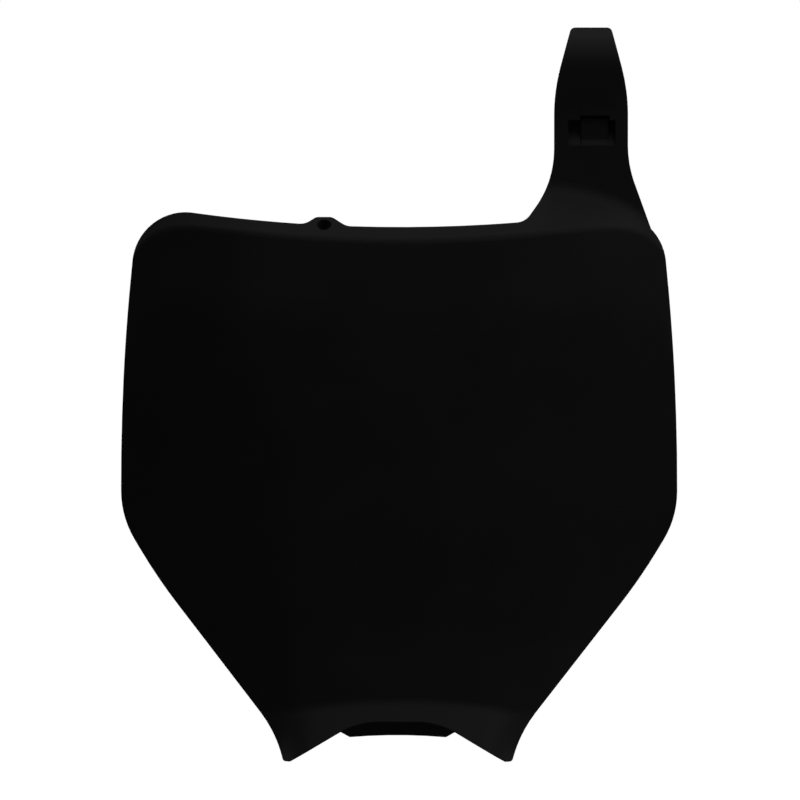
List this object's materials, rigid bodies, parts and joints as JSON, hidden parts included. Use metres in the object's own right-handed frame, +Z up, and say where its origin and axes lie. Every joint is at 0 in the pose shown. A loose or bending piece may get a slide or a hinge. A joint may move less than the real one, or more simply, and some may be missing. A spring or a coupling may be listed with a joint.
{
  "type": "racing number board",
  "caption": "Curved plastic front number board for an off-road motorbike, with a turned-back rim, a bolt ear, a buckle strap, a flared skirt and a mounting tongue.",
  "frame": {"origin": "on the centre line, at the top of the arch in the lower edge, where the mounting tongue begins, in the plane of the panel's front face", "axes": "+X to the right for a viewer in front of the board, +Y from the front face to the back, +Z up along the board"},
  "size_m": [0.25, 0.0605, 0.3285],
  "materials": {
    "black_polypropylene": "satin moulded"
  },
  "bodies": {
    "root": {"number_board": "black_polypropylene"}
  },
  "joints": []
}
